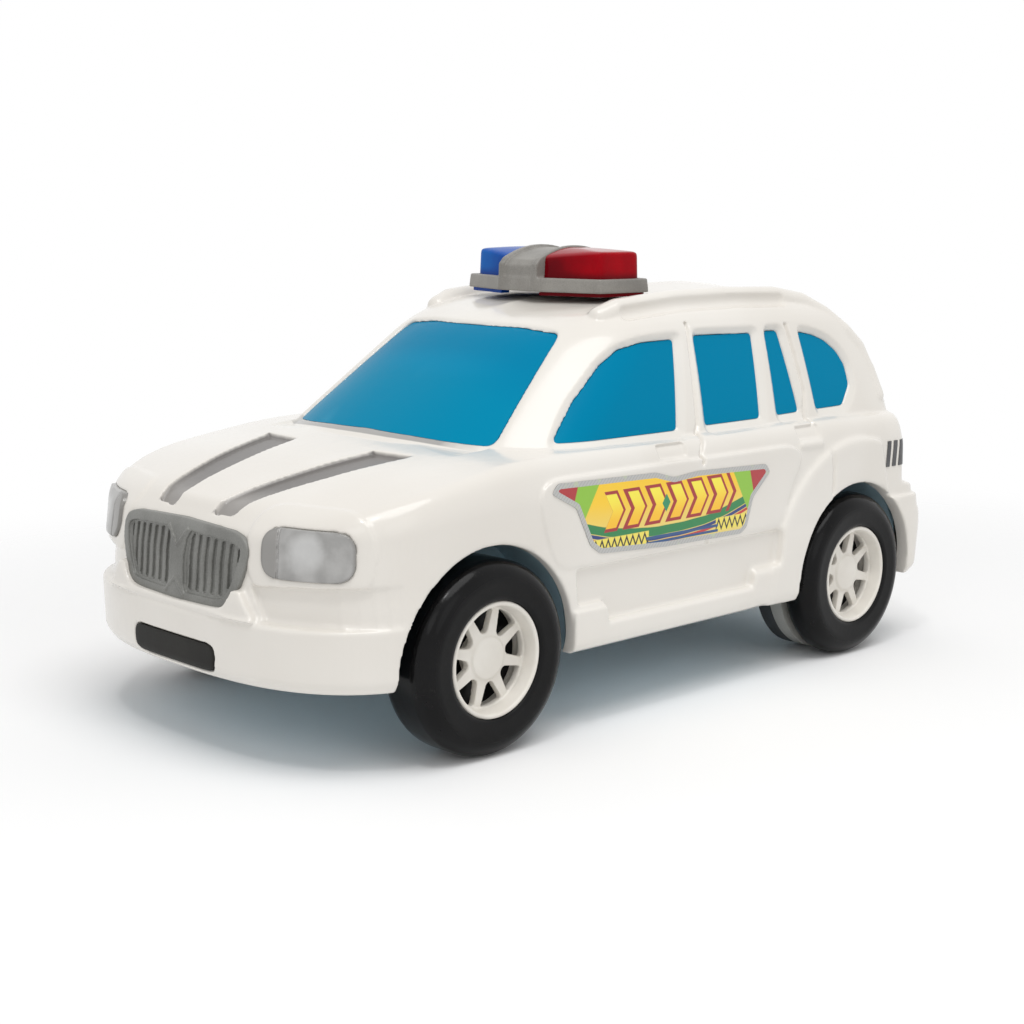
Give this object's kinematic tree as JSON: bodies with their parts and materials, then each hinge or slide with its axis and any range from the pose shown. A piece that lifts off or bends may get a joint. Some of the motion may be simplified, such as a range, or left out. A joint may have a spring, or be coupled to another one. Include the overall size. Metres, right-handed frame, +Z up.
{
  "type": "toy police car",
  "caption": "Hollow plastic toy patrol car with blue window moulding, roof light bar, spoked rolling wheels and a flywheel drive geared to the rear axle.",
  "frame": {"origin": "on the ground under the car, on its centre plane, midway between the front and rear bumper ends", "axes": "+X forward, +Y to the car's left, +Z up"},
  "size_m": [0.252, 0.124, 0.1245],
  "materials": {
    "white_shell": "glossy warm-white moulding with silver sprayed flashes",
    "blue_window": "opaque blue moulding, semi-gloss",
    "slate_floor": "slate blue-grey moulding",
    "grey_trim": "grey, satin",
    "black_trim": "black, satin",
    "lamp_silver": "silver-grey, glossy",
    "blue_lens": "clear tinted, glossy",
    "red_lens": "clear tinted, glossy",
    "sticker": "printed film with a silver border",
    "badge": "printed film, dark grey",
    "wheel_white": "off-white, satin",
    "tyre_black": "smooth black, glossy shoulder",
    "drive_grey": "light grey",
    "grip_rubber": "dark grey",
    "steel": "bright drawn steel",
    "gear_nylon": "natural cream",
    "pinion_brass": "plain",
    "case_black": "dark grey"
  },
  "bodies": {
    "car": {"body_shell": "white_shell", "window_liner": "blue_window", "chassis": "slate_floor", "grille": "grey_trim", "lower_intake": "black_trim", "headlight_left": "lamp_silver", "headlight_right": "lamp_silver", "light_bar_frame": "grey_trim", "blue_lens": "blue_lens", "red_lens": "red_lens", "door_decal_left": "sticker", "door_decal_right": "sticker", "rear_badge_left": "badge", "rear_badge_right": "badge", "chassis_screws": "steel", "idler_pin": "steel", "motor_case_left": "case_black", "motor_case_right": "case_black", "motor_screws": "steel"},
    "front_wheels": {"front_axle": "steel", "front_hub_left": "wheel_white", "front_hub_right": "wheel_white", "front_tyre_left": "tyre_black", "front_tyre_right": "tyre_black"},
    "rear_wheels": {"rear_axle": "steel", "rear_hub_left": "wheel_white", "rear_hub_right": "wheel_white", "rear_tyre_left": "tyre_black", "rear_tyre_right": "tyre_black", "drive_wheel_left": "drive_grey", "drive_wheel_right": "drive_grey", "grip_ring_left": "grip_rubber", "grip_ring_right": "grip_rubber", "axle_gear": "gear_nylon"},
    "idler": {"idler_gear": "gear_nylon"},
    "flywheel_set": {"flywheel": "steel", "flywheel_pinion": "pinion_brass"}
  },
  "joints": [
    {"name": "front_axle_spin", "type": "hinge", "parent": "car", "child": "front_wheels", "pos_m": [0.0716, 0, 0.025], "axis": [0, 1, 0], "continuous": true},
    {"name": "rear_axle_spin", "type": "hinge", "parent": "car", "child": "rear_wheels", "pos_m": [-0.0816, 0, 0.025], "axis": [0, 1, 0], "continuous": true},
    {"name": "idler_spin", "type": "hinge", "parent": "car", "child": "idler", "pos_m": [-0.07423, 0, 0.03016], "axis": [0, 1, 0], "continuous": true},
    {"name": "flywheel_spin", "type": "hinge", "parent": "car", "child": "flywheel_set", "pos_m": [-0.06844, 0, 0.03706], "axis": [0, 1, 0], "continuous": true}
  ],
  "couplings": [
    {"joint": "idler_spin", "follows": "rear_axle_spin", "ratio": -2},
    {"joint": "flywheel_spin", "follows": "rear_axle_spin", "ratio": 5.2}
  ]
}
